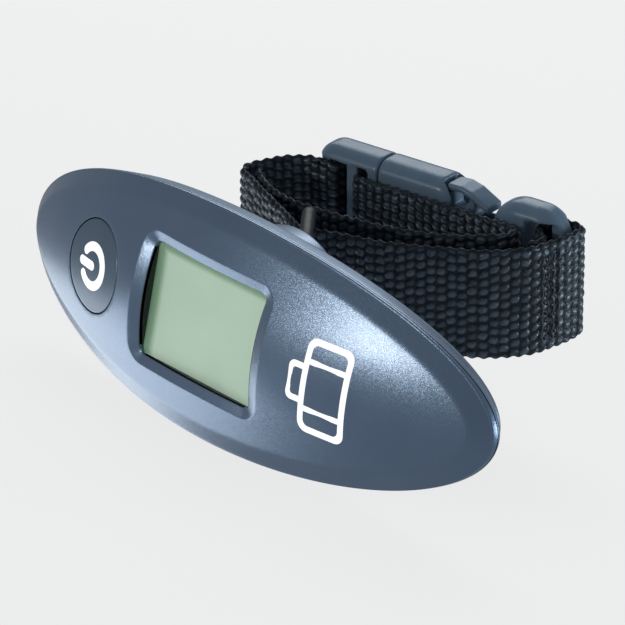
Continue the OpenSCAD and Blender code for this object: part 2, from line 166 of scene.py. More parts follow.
def web_mat():
    """woven polypropylene: dark yarn with fine fibres along it, each crown a little different"""
    m, nt, b, tc = base_mat("webbing_black")
    b.inputs["Specular IOR Level"].default_value = 0.8
    b.inputs["Specular Tint"].default_value = (0.72, 0.88, 1.0, 1)
    vo = node(nt, "ShaderNodeTexVoronoi", (-900, 100))
    vo.inputs["Scale"].default_value = 520.0
    nt.links.new(tc.outputs["Object"], vo.inputs["Vector"])
    nz = node(nt, "ShaderNodeTexNoise", (-900, -150))
    nz.inputs["Scale"].default_value = 2600.0
    nz.inputs["Detail"].default_value = 3.0
    nt.links.new(tc.outputs["Object"], nz.inputs["Vector"])
    cr = node(nt, "ShaderNodeValToRGB", (-400, 100))
    cr.color_ramp.elements[0].position = 0.40
    cr.color_ramp.elements[1].position = 0.80
    cr.color_ramp.elements[0].color = (0.0028, 0.0038, 0.0052, 1)
    cr.color_ramp.elements[1].color = (0.0210, 0.0280, 0.0370, 1)
    mx = node(nt, "ShaderNodeMath", (-600, 0), operation="MULTIPLY_ADD")
    mx.inputs[1].default_value = 0.5
    nt.links.new(vo.outputs["Distance"], mx.inputs[0])
    nt.links.new(nz.outputs["Fac"], mx.inputs[2])
    nt.links.new(mx.outputs["Value"], cr.inputs["Fac"])
    # painted shade and highlight: the crown attribute (crown height times a random tone) scales the base colour, so the
    # valleys between crowns are painted dark and the crowns lighter; the crowns also get the higher specular level
    at = node(nt, "ShaderNodeAttribute", (-900, 400))
    at.attribute_name = "crown"
    lift = node(nt, "ShaderNodeMapRange", (-600, 400))
    lift.inputs["From Min"].default_value = 0.15
    lift.inputs["From Max"].default_value = 1.0
    lift.inputs["To Min"].default_value = 0.6
    lift.inputs["To Max"].default_value = 2.1
    nt.links.new(at.outputs["Fac"], lift.inputs["Value"])
    vm = node(nt, "ShaderNodeVectorMath", (-200, 200), operation="SCALE")
    nt.links.new(cr.outputs["Color"], vm.inputs[0])
    nt.links.new(lift.outputs["Result"], vm.inputs["Scale"])
    nt.links.new(vm.outputs["Vector"], b.inputs["Base Color"])
    sp = node(nt, "ShaderNodeMapRange", (-600, 650))
    sp.inputs["From Min"].default_value = 0.2
    sp.inputs["From Max"].default_value = 0.9
    sp.inputs["To Min"].default_value = 0.25
    sp.inputs["To Max"].default_value = 1.0
    nt.links.new(at.outputs["Fac"], sp.inputs["Value"])
    nt.links.new(sp.outputs["Result"], b.inputs["Specular IOR Level"])
    mr = node(nt, "ShaderNodeMapRange", (-400, -200))
    mr.inputs["To Min"].default_value = 0.24
    mr.inputs["To Max"].default_value = 0.42
    nt.links.new(nz.outputs["Fac"], mr.inputs["Value"])
    nt.links.new(mr.outputs["Result"], b.inputs["Roughness"])
    bp = node(nt, "ShaderNodeBump", (-300, -500))
    bp.inputs["Distance"].default_value = 0.00014
    bp.inputs["Strength"].default_value = 0.8
    nt.links.new(nz.outputs["Fac"], bp.inputs["Height"])
    nt.links.new(bp.outputs["Normal"], b.inputs["Normal"])
    return m


M_WEB = web_mat()


def lcd_mat(cx, hw, hh):
    """unlit reflective display: pale green, deeper along the left and top edges with painted shade where the frame's
    shadow falls; the colour is also emitted as a faint painted glow
    """
    m, nt, b, tc = base_mat("lcd_green_painted_shade_and_glow")
    b.inputs["Roughness"].default_value = 0.35
    sep = node(nt, "ShaderNodeSeparateXYZ", (-950, 0))
    nt.links.new(tc.outputs["Object"], sep.inputs[0])

    def edge(src, a0, a1, x=-700, y=0):
        mr = node(nt, "ShaderNodeMapRange", (x, y), interpolation_type="SMOOTHSTEP")
        mr.inputs["From Min"].default_value = a0
        mr.inputs["From Max"].default_value = a1
        nt.links.new(sep.outputs[src], mr.inputs["Value"])
        return mr.outputs["Result"]
    # painted shadow of the frame: a smooth mask over the last few millimetres of the left and top edges
    left = edge("X", (cx - hw + 3.6) * 0.001, (cx - hw + 1.2) * 0.001, y=100)
    top = edge("Z", (hh - 2.6) * 0.001, (hh - 1.0) * 0.001, y=-150)
    painted_shade_mask = node(nt, "ShaderNodeMath", (-480, 0), operation="MAXIMUM")
    nt.links.new(left, painted_shade_mask.inputs[0])
    nt.links.new(top, painted_shade_mask.inputs[1])
    nz = node(nt, "ShaderNodeTexNoise", (-700, -400))
    nz.inputs["Scale"].default_value = 90.0
    nt.links.new(tc.outputs["Object"], nz.inputs["Vector"])
    c1 = node(nt, "ShaderNodeValToRGB", (-480, -300))
    c1.color_ramp.elements[0].color = (0.405, 0.515, 0.405, 1)
    c1.color_ramp.elements[1].color = (0.465, 0.575, 0.475, 1)
    nt.links.new(nz.outputs["Fac"], c1.inputs["Fac"])
    mix = node(nt, "ShaderNodeMix", (-200, 0), data_type="RGBA")
    # the painted shade colour, a deeper green
    mix.inputs["B"].default_value = (0.17, 0.28, 0.18, 1)
    nt.links.new(painted_shade_mask.outputs["Value"], mix.inputs["Factor"])
    nt.links.new(c1.outputs["Color"], mix.inputs["A"])
    nt.links.new(mix.outputs["Result"], b.inputs["Base Color"])
    nt.links.new(mix.outputs["Result"], b.inputs["Emission Color"])
    # painted glow: the display is unlit, yet its colour, painted shade included, is emitted
    b.inputs["Emission Strength"].default_value = 0.45
    return m


def lens_mat():
    m, nt, b, tc = base_mat("clear_lens")
    out = nt.nodes["Material Output"]
    tr = node(nt, "ShaderNodeBsdfTransparent", (0, 200))
    gl = node(nt, "ShaderNodeBsdfGlossy", (0, 0))
    gl.inputs["Roughness"].default_value = 0.05
    nz = node(nt, "ShaderNodeTexNoise", (-500, 0))
    nz.inputs["Scale"].default_value = 60.0
    nt.links.new(tc.outputs["Object"], nz.inputs["Vector"])
    cr = node(nt, "ShaderNodeValToRGB", (-300, 200))
    cr.color_ramp.elements[0].color = (0.93, 0.95, 0.94, 1)
    cr.color_ramp.elements[1].color = (0.97, 0.98, 0.975, 1)
    nt.links.new(nz.outputs["Fac"], cr.inputs["Fac"])
    nt.links.new(cr.outputs["Color"], tr.inputs["Color"])
    mx = node(nt, "ShaderNodeMixShader", (200, 100))
    mx.inputs[0].default_value = 0.05
    nt.links.new(tr.outputs[0], mx.inputs[1])
    nt.links.new(gl.outputs[0], mx.inputs[2])
    nt.links.new(mx.outputs[0], out.inputs["Surface"])
    nt.nodes.remove(b)
    return m


# ---------------------------------------------------------------- mesh helpers
def make(name, verts, faces, mat, body, replaces=(), sharp=38, fix=True):
    """verts in millimetres, row frame"""
    me = bpy.data.meshes.new(name)
    me.from_pydata([(x * 0.001, y * 0.001, z * 0.001) for x, y, z in verts], [], faces)
    me.update()
    bm = bmesh.new()
    bm.from_mesh(me)
    bmesh.ops.remove_doubles(bm, verts=bm.verts, dist=2e-7)
    if fix:
        bmesh.ops.recalc_face_normals(bm, faces=bm.faces)
    bm.to_mesh(me)
    bm.free()
    me.shade_smooth()
    me.set_sharp_from_angle(angle=math.radians(sharp))
    me.materials.append(mat)
    o = bpy.data.objects.new(name, me)
    SC.collection.objects.link(o)
    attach(o, body)
    if replaces:
        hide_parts(*replaces)
    return o


class Shape:
    """mesh under construction, with rings joined by quads"""
    def __init__(self):
        self.v, self.f = [], []

    def ring(self, pts):
        i = len(self.v)
        self.v += [tuple(p) for p in pts]
        return list(range(i, i + len(pts)))

    def join(self, a, b, closed=True):
        n = len(a)
        for k in range(n if closed else n - 1):
            j = (k + 1) % n
            self.f.append((a[k], a[j], b[j], b[k]))

    def lathe(self, rings):
        ids = [self.ring(r) for r in rings]
        for p, q in zip(ids, ids[1:]):
            self.join(p, q)
        return ids

    def cap(self, ids):
        self.f.append(tuple(ids))

    def fan(self, ids, centre):
        c = len(self.v)
        self.v.append(tuple(centre))
        n = len(ids)
        for k in range(n):
            self.f.append((ids[k], ids[(k + 1) % n], c))


def inside(p, loop):
    x, z = p
    c = False
    n = len(loop)
    j = n - 1
    for i in range(n):
        xi, zi = loop[i]
        xj, zj = loop[j]
        if (zi > z) != (zj > z) and x < (xj - xi) * (z - zi) / (zj - zi) + xi:
            c = not c
        j = i
    return c


def region(outer, holes, step, clear=0.45):
    """flat triangulation of outer minus holes with an even grid inside: points and triangles"""
    loops = [outer] + holes
    pts, edges = [], []
    for lp in loops:
        i0 = len(pts)
        pts += [Vector(p) for p in lp]
        edges += [(i0 + k, i0 + (k + 1) % len(lp)) for k in range(len(lp))]
    xs = [p[0] for p in outer]
    zs = [p[1] for p in outer]
    dense = []
    for lp in loops:
        for p, q in zip(lp, list(lp[1:]) + [lp[0]]):
            k_ = max(1, int(math.hypot(q[0] - p[0], q[1] - p[1]) / (0.25 * step)))
            dense += [(p[0] + (q[0] - p[0]) * i / k_, p[1] + (q[1] - p[1]) * i / k_) for i in range(k_)]
    L = np.array(dense)
    rows = int((max(zs) - min(zs)) / (step * 0.866)) + 1
    cols = int((max(xs) - min(xs)) / step) + 1
    for r in range(rows + 1):
        for c in range(cols + 1):
            x = min(xs) + (c + 0.5 * (r % 2)) * step
            z = min(zs) + r * step * 0.866
            if not inside((x, z), outer) or any(inside((x, z), h) for h in holes):
                continue
            d = np.min((L[:, 0] - x) ** 2 + (L[:, 1] - z) ** 2)
            if d < (clear * step) ** 2:
                continue
            pts.append(Vector((x, z)))
    vo, _, fo, ov, _, _ = delaunay_2d_cdt(pts, edges, [], 0, 1e-5)
    back = {}
    for k, src in enumerate(ov):
        for s in src:
            back[s] = k
    tris = []
    for f in fo:
        cx = sum(vo[i][0] for i in f) / 3
        cz = sum(vo[i][1] for i in f) / 3
        if inside((cx, cz), outer) and not any(inside((cx, cz), h) for h in holes):
            tris.append(tuple(f))
    # loops as indices into the output
    out, i0 = [], 0
    for lp in loops:
        out.append([back[i0 + k] for k in range(len(lp))])
        i0 += len(lp)
    return [(p[0], p[1]) for p in vo], tris, out


def rrect(hw, hh, r, cx=0.0, cz=0.0, n=8, m=10):
    """rounded rectangle, the same number of points for any size"""
    out = []
    corners = [(1, 1, 0), (-1, 1, 90), (-1, -1, 180), (1, -1, 270)]
    for i, (sx, sz, a0) in enumerate(corners):
        for k in range(n + 1):
            t = math.radians(a0 + 90 * k / n)
            out.append((cx + sx * (hw - r) + r * math.cos(t), cz + sz * (hh - r) + r * math.sin(t)))
        nx, nz, a1 = corners[(i + 1) % 4]
        p = out[-1]
        t = math.radians(a1)
        q = (cx + nx * (hw - r) + r * math.cos(t), cz + nz * (hh - r) + r * math.sin(t))
        for k in range(1, m):
            out.append((p[0] + (q[0] - p[0]) * k / m, p[1] + (q[1] - p[1]) * k / m))
    return out


def circ(r, cx=0.0, cz=0.0, n=96):
    return [(cx + r * math.cos(2 * math.pi * k / n), cz + r * math.sin(2 * math.pi * k / n)) for k in range(n)]


def slab(shape, polys, ytop, ybot, step=0.5):
    """polys: list of (outer, holes). Follows the surface ytop(x,z), closed down to ybot"""
    for outer, holes in polys:
        p, t, loops = region(outer, holes, step)
        i0 = len(shape.v)
        shape.v += [(x, ytop(x, z), z) for x, z in p]
        i1 = len(shape.v)
        shape.v += [(x, ybot(x, z), z) for x, z in p]
        for f in t:
            shape.f.append(tuple(i0 + k for k in f))
            shape.f.append(tuple(i1 + k for k in reversed(f)))
        for lp in loops:
            n = len(lp)
            for k in range(n):
                a0, b0 = lp[k], lp[(k + 1) % n]
                shape.f.append((i0 + a0, i0 + b0, i1 + b0, i1 + a0))


# ---------------------------------------------------------------- housing surfaces
A, B = 72.5, 24.5
FR = 196.6


def g(z):
    z = abs(z)
    if z < 10:
        return 0.01105 * z * z
    if z < 15:
        t = z - 10
        return 1.105 + 0.221 * t + 0.0221 * (t * t / 2 - t ** 3 / 30)
    return 2.3942 + 0.27625 * (z - 15)


def H(x, z):
    return -6.4 + FR - math.sqrt(FR * FR - x * x) + g(z)


def seam(x):
    return 10.7 * (x / A) ** 2


def back(x, z):
    return 10.06 + 6.64 * (x / A) ** 2 - 5.0 * (z / B) ** 2


NT = 320


def ell(a, b, d=0.0, n=NT):
    out = []
    for k in range(n):
        t = 2 * math.pi * k / n
        # spacing that is even along the outline
        t = t - 0.20 * math.sin(2 * t) * 1.0
        c, s = math.cos(t), math.sin(t)
        nx, nz = c / a, s / b
        L = math.hypot(nx, nz)
        out.append((a * c - d * nx / L, b * s - d * nz / L))
    return out


WX = -2.7
BX = -39.4
WIN_O = (21.3, 14.8, 4.6)
WIN_I = (17.9, 12.4, 1.6)
GAP = 0.13


def seam_painted_shade(o):
    """the faces that look into the parting line get the black material: painted shade in the groove between the shells
    """
    o.data.materials.append(M_BLACK)
    co = o.data.vertices
    for f in o.data.polygons:
        if all(abs(co[i].co.y * 1000 - seam(co[i].co.x * 1000)) < GAP + 0.035 for i in f.vertices):
            f.material_index = 1
    return o


def front_shell():
    s = Shape()
    # edge band: from the seam up over the small edge radius and the soft bevel
    P0 = ell(A, B)
    ds = [4.5, 4.2, 3.9, 3.6, 3.3, 2.9, 2.4, 1.9, 1.4, 0.9, 0.55, 0.35]
    rf = 0.35
    rings = []
    wall = []
    P35 = ell(A, B, rf)
    kk = []
    for (x0, z0), (x3, z3) in zip(P0, P35):
        w = 0.12 + 0.9 * (x0 / A) ** 4
        wall.append(w)
        ye = seam(x0) - GAP - w - rf
        kk.append((ye - H(x3, z3)) / (4.5 - rf - 0.6))
    for d in ds:
        P = ell(A, B, d)
        sdist = 4.5 - d
        ramp = sdist * sdist / 2.4 if sdist < 1.2 else sdist - 0.6
        rings.append([(x, H(x, z) + kk[i] * ramp, z) for i, (x, z) in enumerate(P)])
    for ph in (22.5, 45, 67.5, 90):
        t = math.radians(ph)
        P = ell(A, B, rf * (1 - math.sin(t)))
        rings.append([(x, seam(P0[i][0]) - GAP - wall[i] - rf + rf * (1 - math.cos(t)), z) for i, (x, z) in enumerate(P)])
    rings.append([(x, seam(x) - GAP, z) for x, z in P0])
    Pi = ell(A, B, 1.9)
    rings.append([(x, seam(x) - GAP, z) for x, z in Pi])
    rings.append([(x, min(H(x, z) + 1.9, seam(x) - GAP - 0.12), z) for x, z in Pi])
    inner_outer = ell(A, B, 4.5)
    wo = rrect(*WIN_O, cx=WX, m=30)
    bo = circ(10.28, BX, 0, 96)
    p, t, loops = region(inner_outer, [wo, bo], 1.0)
    i0 = len(s.v)
    s.v += [(x, H(x, z), z) for x, z in p]
    i1 = len(s.v)

    def inn(x, z):
        return min(H(x, z) + 1.9, seam(x) - GAP - 0.3)
    s.v += [(x, inn(x, z), z) for x, z in p]
    for f in t:
        s.f.append(tuple(i0 + k for k in f))
        s.f.append(tuple(i1 + k for k in f))
    ids = [[i0 + k for k in loops[0]]] + [s.ring(r) for r in rings[1:]] + [[i1 + k for k in loops[0]]]
    for a_, b_ in zip(ids, ids[1:]):
        s.join(a_, b_)
    # window: chamfer with a soft start, then the wall down
    prof = [(0.0, 0.0), (0.05, 0.004), (0.11, 0.03), (0.18, 0.09), (0.35, 0.27), (0.55, 0.50), (0.75, 0.73), (0.90, 0.90), (0.95, 0.965), (0.985, 1.03), (1.0, 1.12), (1.0, 1.75)]
    wr = []
    for tt, dd in prof[1:]:
        hw = WIN_O[0] + (WIN_I[0] - WIN_O[0]) * tt
        hh = WIN_O[1] + (WIN_I[1] - WIN_O[1]) * tt
        r = WIN_O[2] + (WIN_I[2] - WIN_O[2]) * tt
        wr.append([(x, H(x, z) + 1.15 * dd, z) for x, z in rrect(hw, hh, r, cx=WX, m=30)])
    ids = [[i0 + k for k in loops[1]]] + [s.ring(r) for r in wr] + [[i1 + k for k in loops[1]]]
    for a_, b_ in zip(ids, ids[1:]):
        s.join(a_, b_)
    # button bore with a small rounded lip
    br = []
    for rr_, dy in ((10.25, 0.01), (10.22, 0.05), (10.20, 0.12), (10.20, 1.9)):
        br.append([(x, H(x, z) + dy, z) for x, z in circ(rr_, BX, 0, 96)])
    ids = [[i0 + k for k in loops[2]]] + [s.ring(r) for r in br] + [[i1 + k for k in loops[2]]]
    for a_, b_ in zip(ids, ids[1:]):
        s.join(a_, b_)
    return seam_painted_shade(make("housing_front", s.v, s.f, M_FRONT, "housing", ["front_shell"]))


def rear_shell():
    s = Shape()
    ar, br_ = 68.6, 24.25
    rf = 1.5
    P0 = ell(A, B)
    PR = ell(ar, br_)
    rings = []
    n = NT
    rings.append([(x, seam(x) + GAP, z) for x, z in ell(A, B, 0.12)])
    rings.append([(x, seam(x) + GAP + 0.03, z) for x, z in ell(A, B, 0.03)])
    # side wall, a little barrelled
    for t in (0.02, 0.1, 0.25, 0.4, 0.55, 0.7, 0.85, 1.0):
        r = []
        for i in range(n):
            x0, z0 = P0[i]
            x1, z1 = PR[i]
            y0 = seam(x0) + GAP
            y1 = back(x1, z1) - rf
            b = 0.25 * math.sin(math.pi * min(1, t)) * abs(x0 / A)
            x = x0 + (x1 - x0) * t ** 1.15
            z = z0 + (z1 - z0) * t ** 1.3
            r.append((x + b * (1 if x > 0 else -1), y0 + (y1 - y0) * t, z))
        rings.append(r)
    for ph in (15, 30, 45, 60, 75, 90):
        t = math.radians(ph)
        d = rf * (1 - math.cos(t))
        P = ell(ar, br_, d)
        rings.append([(x, back(x, z) - rf * (1 - math.sin(t)), z) for x, z in P])
    P3 = ell(ar, br_, 2.6)
    N8 = 128
    boss_r0 = 21.6
    hb = circ(boss_r0, 0, 0, N8)
    hd = circ(13.6, 45, 0, 96)
    sc = [(-26, 11, 6.4), (-26, -11, 6.4), (26, 11, 6.4), (26, -11, 6.4), (-60, 0, 11.2), (62, 0, 11.2)]
    hs = [circ(3.2, x, z, 40) for x, z, _ in sc]
    p, t, loops = region(P3, [hb, hd] + hs, 1.25)
    i0 = len(s.v)
    s.v += [(x, back(x, z), z) for x, z in p]
    i1 = len(s.v)
    s.v += [(x, back(x, z) - 1.8, z) for x, z in p]
    for f in t:
        s.f.append(tuple(i0 + k for k in f))
        s.f.append(tuple(i1 + k for k in f))
    ids = [s.ring(r) for r in rings] + [[i0 + k for k in loops[0]]]
    for a_, b_ in zip(ids, ids[1:]):
        s.join(a_, b_)
    # rim and inside wall
    rim = s.ring([(x, seam(x) + GAP, z) for x, z in ell(A, B, 2.0)])
    mid = s.ring([(x, back(x, z) - 2.6, z) for x, z in ell(ar, br_, 2.3)])
    s.join(ids[0], rim)
    s.join(rim, mid)
    s.join(mid, [i1 + k for k in loops[0]])

    def ringat(r, cx, cz, nn, yf):
        return s.ring([(x, yf(x, z), z) for x, z in circ(r, cx, cz, nn)])
    # boss
    seq = [[i0 + k for k in loops[1]]]
    rfil = 1.6
    for ph in (15, 30, 45, 60, 75, 90):
        a_ = math.radians(ph)
        rr_ = boss_r0 - rfil * math.sin(a_)
        seq.append(s.ring([(x, back(x * boss_r0 / rr_, z * boss_r0 / rr_) + rfil * (1 - math.cos(a_)), z) for x, z in circ(rr_, 0, 0, N8)]))
    re_ = 1.5
    for ph in (0, 15, 30, 45, 60, 75, 90):
        a_ = math.radians(ph)
        seq.append(ringat(20.0 - re_ * (1 - math.cos(a_)), 0, 0, N8, lambda x, z, q=a_: 18.5 - re_ * (1 - math.sin(q))))
    seq.append(ringat(12, 0, 0, N8, lambda x, z: 18.55))
    for rr_, y in ((6.5, 18.55), (6.2, 18.48), (6.03, 18.3), (6.0, 18.1), (6.0, 16.5), (18.1, 16.5), (18.1, 9.6)):
        seq.append(ringat(rr_, 0, 0, N8, lambda x, z, q=y: q))
    seq.append([i1 + k for k in loops[1]])
    for a_, b_ in zip(seq, seq[1:]):
        s.join(a_, b_)
    # battery bay
    seq = [[i0 + k for k in loops[2]]]
    for rr_, dy in ((12.75, 0.0), (12.5, 0.04), (12.35, 0.12), (12.25, 0.3)):
        seq.append(s.ring([(x, back(x, z) - dy, z) for x, z in circ(rr_, 45, 0, 96)]))
    for rr_, y in ((12.25, 9.85), (10.9, 9.85), (10.9, 8.5), (13.6, 8.5)):
        seq.append(ringat(rr_, 45, 0, 96, lambda x, z, q=y: q))
    seq.append([i1 + k for k in loops[2]])
    for a_, b_ in zip(seq, seq[1:]):
        s.join(a_, b_)
    # screw wells
    for (cx, cz, yb), lp in zip(sc, loops[3:]):
        seq = [[i0 + k for k in lp]]
        for rr_, dy in ((2.75, 0.0), (2.55, 0.05), (2.43, 0.2)):
            seq.append(s.ring([(x, back(x, z) - dy, z) for x, z in circ(rr_, cx, cz, 40)]))
        for rr_, y in ((2.4, yb), (1.3, yb), (1.3, yb - 1.4), (3.2, yb - 1.4)):
            seq.append(ringat(rr_, cx, cz, 40, lambda x, z, q=y: q))
        seq.append([i1 + k for k in lp])
        for a_, b_ in zip(seq, seq[1:]):
            s.join(a_, b_)
    return seam_painted_shade(make("housing_rear", s.v, s.f, M_REAR, "housing", ["rear_shell"]))


def power_button():
    s = Shape()
    rings = []
    for r in (1.2, 2.4, 3.6, 4.8, 6.0, 7.2, 8.2, 9.0, 9.5):
        rings.append([(x, H(x, z) + 0.02, z) for x, z in circ(r, BX, 0, 96)])
    for r, dy in ((9.72, 0.03), (9.86, 0.08), (9.95, 0.16), (10.0, 0.28), (10.02, 0.45), (10.02, 2.9)):
        rings.append([(x, H(x, z) + dy, z) for x, z in circ(r, BX, 0, 96)])
    rings.append([(x, H(x, z) + 3.05, z) for x, z in circ(9.8, BX, 0, 96)])
    rings.append([(x, 0.2, z) for x, z in circ(2.5, BX, 0, 96)])
    rings.append([(x, 1.1, z) for x, z in circ(2.4, BX, 0, 96)])
    ids = s.lathe(rings)
    s.fan(ids[0], (BX, H(BX, 0) + 0.02, 0))
    s.fan(ids[-1], (BX, 1.1, 0))
    return make("button_cap", s.v, s.f, M_BUTTON, "button", ["power_button"])


def arc_band(cx, cz, rm, hw, a0, a1, n=56):
    """ring segment with round ends, as one outline"""
    out = []
    for k in range(n + 1):
        t = a0 + (a1 - a0) * k / n
        out.append((cx + (rm + hw) * math.cos(t), cz + (rm + hw) * math.sin(t)))
    for k in range(1, 12):
        q = a1 + math.pi * k / 12
        out.append((cx + rm * math.cos(a1) + hw * math.cos(q), cz + rm * math.sin(a1) + hw * math.sin(q)))
    for k in range(n + 1):
        t = a1 + (a0 - a1) * k / n
        out.append((cx + (rm - hw) * math.cos(t), cz + (rm - hw) * math.sin(t)))
    for k in range(1, 12):
        q = a0 + math.pi + math.pi * k / 12
        out.append((cx + rm * math.cos(a0) + hw * math.cos(q), cz + rm * math.sin(a0) + hw * math.sin(q)))
    return out


def capsule2(p, q, hw, n=12):
    a = math.atan2(q[1] - p[1], q[0] - p[0])
    out = []
    for k in range(n + 1):
        t = a - math.pi / 2 + math.pi * k / n
        out.append((q[0] + hw * math.cos(t), q[1] + hw * math.sin(t)))
    for k in range(n + 1):
        t = a + math.pi / 2 + math.pi * k / n
        out.append((p[0] + hw * math.cos(t), p[1] + hw * math.sin(t)))
    return out


def power_symbol():
    s = Shape()
    half = math.radians(38)
    polys = [(arc_band(BX, 0, 4.2, 1.0, -math.pi + half, math.pi - half), []),
             (capsule2((BX - 4.4, 0), (BX - 0.2, 0), 1.0), [])]
    slab(s, polys, lambda x, z: H(x, z) - 0.02, lambda x, z: H(x, z) + 0.25, 0.45)
    return make("button_symbol", s.v, s.f, M_WHITE, "button", ["power_symbol"])


def face_mark():
    """generic suitcase outline; its up is -X"""
    def T(lp):
        # local (p, q) turned a quarter: x = 35.6 - q, z = -1 + p
        return [(35.6 - q, -1 + p) for p, q in lp]
    polys = []
    polys.append((T(rrect(10, 5.8, 2.2, n=8, m=14)), [T(rrect(8.6, 4.4, 1.3, n=8, m=14))]))
    for sx in (-5, 5):
        polys.append((T([(sx - 0.6, -4.4), (sx + 0.6, -4.4), (sx + 0.6, 4.4), (sx - 0.6, 4.4)]), []))
    # handle
    h = []
    for k in range(9):
        t = math.radians(0 + 90 * k / 8)
        h.append((4.2 - 1.4 + 1.4 * math.cos(t), 7.9 + 1.4 * math.sin(t)))
    for k in range(9):
        t = math.radians(90 + 90 * k / 8)
        h.append((-4.2 + 1.4 + 1.4 * math.cos(t), 7.9 + 1.4 * math.sin(t)))
    h.append((-4.2, 5.8))
    h.append((-2.9, 5.8))
    for k in range(9):
        t = math.radians(180 - 90 * k / 8)
        h.append((-2.2 + 0.7 * math.cos(t), 7.5 + 0.7 * math.sin(t)))
    for k in range(9):
        t = math.radians(90 - 90 * k / 8)
        h.append((2.2 + 0.7 * math.cos(t), 7.5 + 0.7 * math.sin(t)))
    h.append((2.9, 5.8))
    h.append((4.2, 5.8))
    polys.append((T(h), []))
    s = Shape()
    slab(s, polys, lambda x, z: H(x, z) - 0.03, lambda x, z: H(x, z) + 0.22, 0.5)
    return make("face_pictogram", s.v, s.f, M_WHITE, "housing", ["face_mark"])


def lcd():
    """display glass with its polariser, and the clear window, both with small edge radii"""
    def tablet(name, hw, hh, r, y0, y1, e, mat, rep):
        s = Shape()
        rings = []
        for k in range(4):
            t = math.radians(90 * k / 3)
            o = e * (1 - math.sin(t))
            rings.append([(x, y0 + e * (1 - math.cos(t)), z) for x, z in rrect(hw - o, hh - o, max(r - o, 0.05), cx=WX)])
        for k in range(4):
            t = math.radians(90 * k / 3)
            o = e * (1 - math.cos(t))
            rings.append([(x, y1 - e * (1 - math.sin(t)), z) for x, z in rrect(hw - o, hh - o, max(r - o, 0.05), cx=WX)])
        flat = [rrect(hw - q, hh - q, 0.5, cx=WX) for q in (5.0, 1.2, 0.5)]
        rings = [[(x, y0, z) for x, z in f] for f in flat] + rings + [[(x, y1, z) for x, z in f] for f in reversed(flat)]
        ids = s.lathe(rings)
        s.fan(ids[0], (WX, y0, 0))
        s.fan(ids[-1], (WX, y1, 0))
        return make(name, s.v, s.f, mat, "housing", [rep])
    tablet("display_glass", 19.3, 13.7, 0.6, -1.56, 0.58, 0.12, lcd_mat(WX, 17.9, 12.4), "lcd_panel")
    tablet("display_window", 17.8, 12.3, 1.4, -2.3, -1.62, 0.1, lens_mat(), "lcd_lens")


# ---------------------------------------------------------------- strap
LEAN = math.radians(12.4)
SL, CL = math.sin(LEAN), math.cos(LEAN)
BANG = math.radians(11.5)
BCX, BCV = -7.2, 47.2


def G(x, v, w):
    return (x, 23 + CL * v - SL * w, SL * v + CL * w)


def bp(u, n, r=0.0):
    return (BCX + u * math.cos(BANG) - n * math.sin(BANG), BCV + u * math.sin(BANG) + n * math.cos(BANG), r)


def Bp(u, n, w):
    x, v, _ = bp(u, n)
    return G(x, v, w)


SW = math.radians(46)
BAR = (-21.1 * math.sin(SW), 21.1 * math.cos(SW))
PL = [(22.8, 42.6, 0), (23.4, 46.3, 1.6), bp(25.3, -3.2, 1.4), bp(25.3, 3.5, 1.3), bp(33.2, 3.5, 2.2), (25.5, 50, 8), (25.2, 41, 12), (20.5, 33, 20), (4, 20.2, 30),
      (BAR[0] + 0.3, BAR[1] - 3.1, 2.6), (-38, 19.2, 30), (-47, 22.2, 3.6), (-44.6, 32.5, 8), bp(-35, -3.3, 3), bp(-28.3, -3.3, 1.4), bp(-28.3, 3.4, 1.4),
      bp(-21, 3.4, 1.4), bp(-21, -6.1, 1.6), bp(10, -6.1, 30), (16.8, 45.7, 2.0), (16.4, 41.2, 1.8), (9, 31.5, 20), (-2, 25.4, 30), (-14, 21.4, 30), (-27, 18.6, 30), (-36, 20.4, 20), (-42.6, 23.9, 0)]


def path(P, step):
    """corners rounded by arcs, then even steps: list of (x, v, tangent)"""
    segs = []
    cur = np.array(P[0][:2], float)

    def unit(a, b):
        d = np.array(b[:2], float) - np.array(a[:2], float)
        return d / np.linalg.norm(d)
    for i in range(1, len(P) - 1):
        p = np.array(P[i][:2], float)
        d0, d1 = unit(P[i - 1], P[i]), unit(P[i], P[i + 1])
        ang = math.acos(max(-1, min(1, float(d0 @ d1))))
        tmax = 0.48 * min(np.linalg.norm(p - np.array(P[i - 1][:2])), np.linalg.norm(p - np.array(P[i + 1][:2])))
        t = min(P[i][2] * math.tan(ang / 2), tmax)
        r = t / math.tan(ang / 2)
        sgn = 1.0 if d0[0] * d1[1] - d0[1] * d1[0] > 0 else -1.0
        a = p - t * d0
        segs.append(("L", cur, a))
        segs.append(("A", a, d0, r, sgn, ang))
        cur = p + t * d1
    segs.append(("L", cur, np.array(P[-1][:2], float)))
    out = []
    carry = 0.0
    total = 0.0
    lens = [np.linalg.norm(q[2] - q[1]) if q[0] == "L" else q[3] * q[5] for q in segs]
    total = sum(lens)
    n = int(total / step)
    st = total / n
    k = 0
    acc = 0.0
    for q, L in zip(segs, lens):
        while k <= n and k * st <= acc + L + 1e-9:
            f = (k * st - acc)
            if q[0] == "L":
                d = (q[2] - q[1]) / max(L, 1e-9)
                pt = q[1] + d * f
            else:
                _, a, d0, r, sgn, ang = q
                nn = np.array([-d0[1], d0[0]]) * sgn
                c = a + r * nn
                th = f / r * sgn
                v = -nn
                pt = c + r * np.array([v[0] * math.cos(th) - v[1] * math.sin(th), v[0] * math.sin(th) + v[1] * math.cos(th)])
                d = np.array([d0[0] * math.cos(th) - d0[1] * math.sin(th), d0[0] * math.sin(th) + d0[1] * math.cos(th)])
            out.append((pt[0], pt[1], d[0], d[1]))
            k += 1
        acc += L
    return out, st


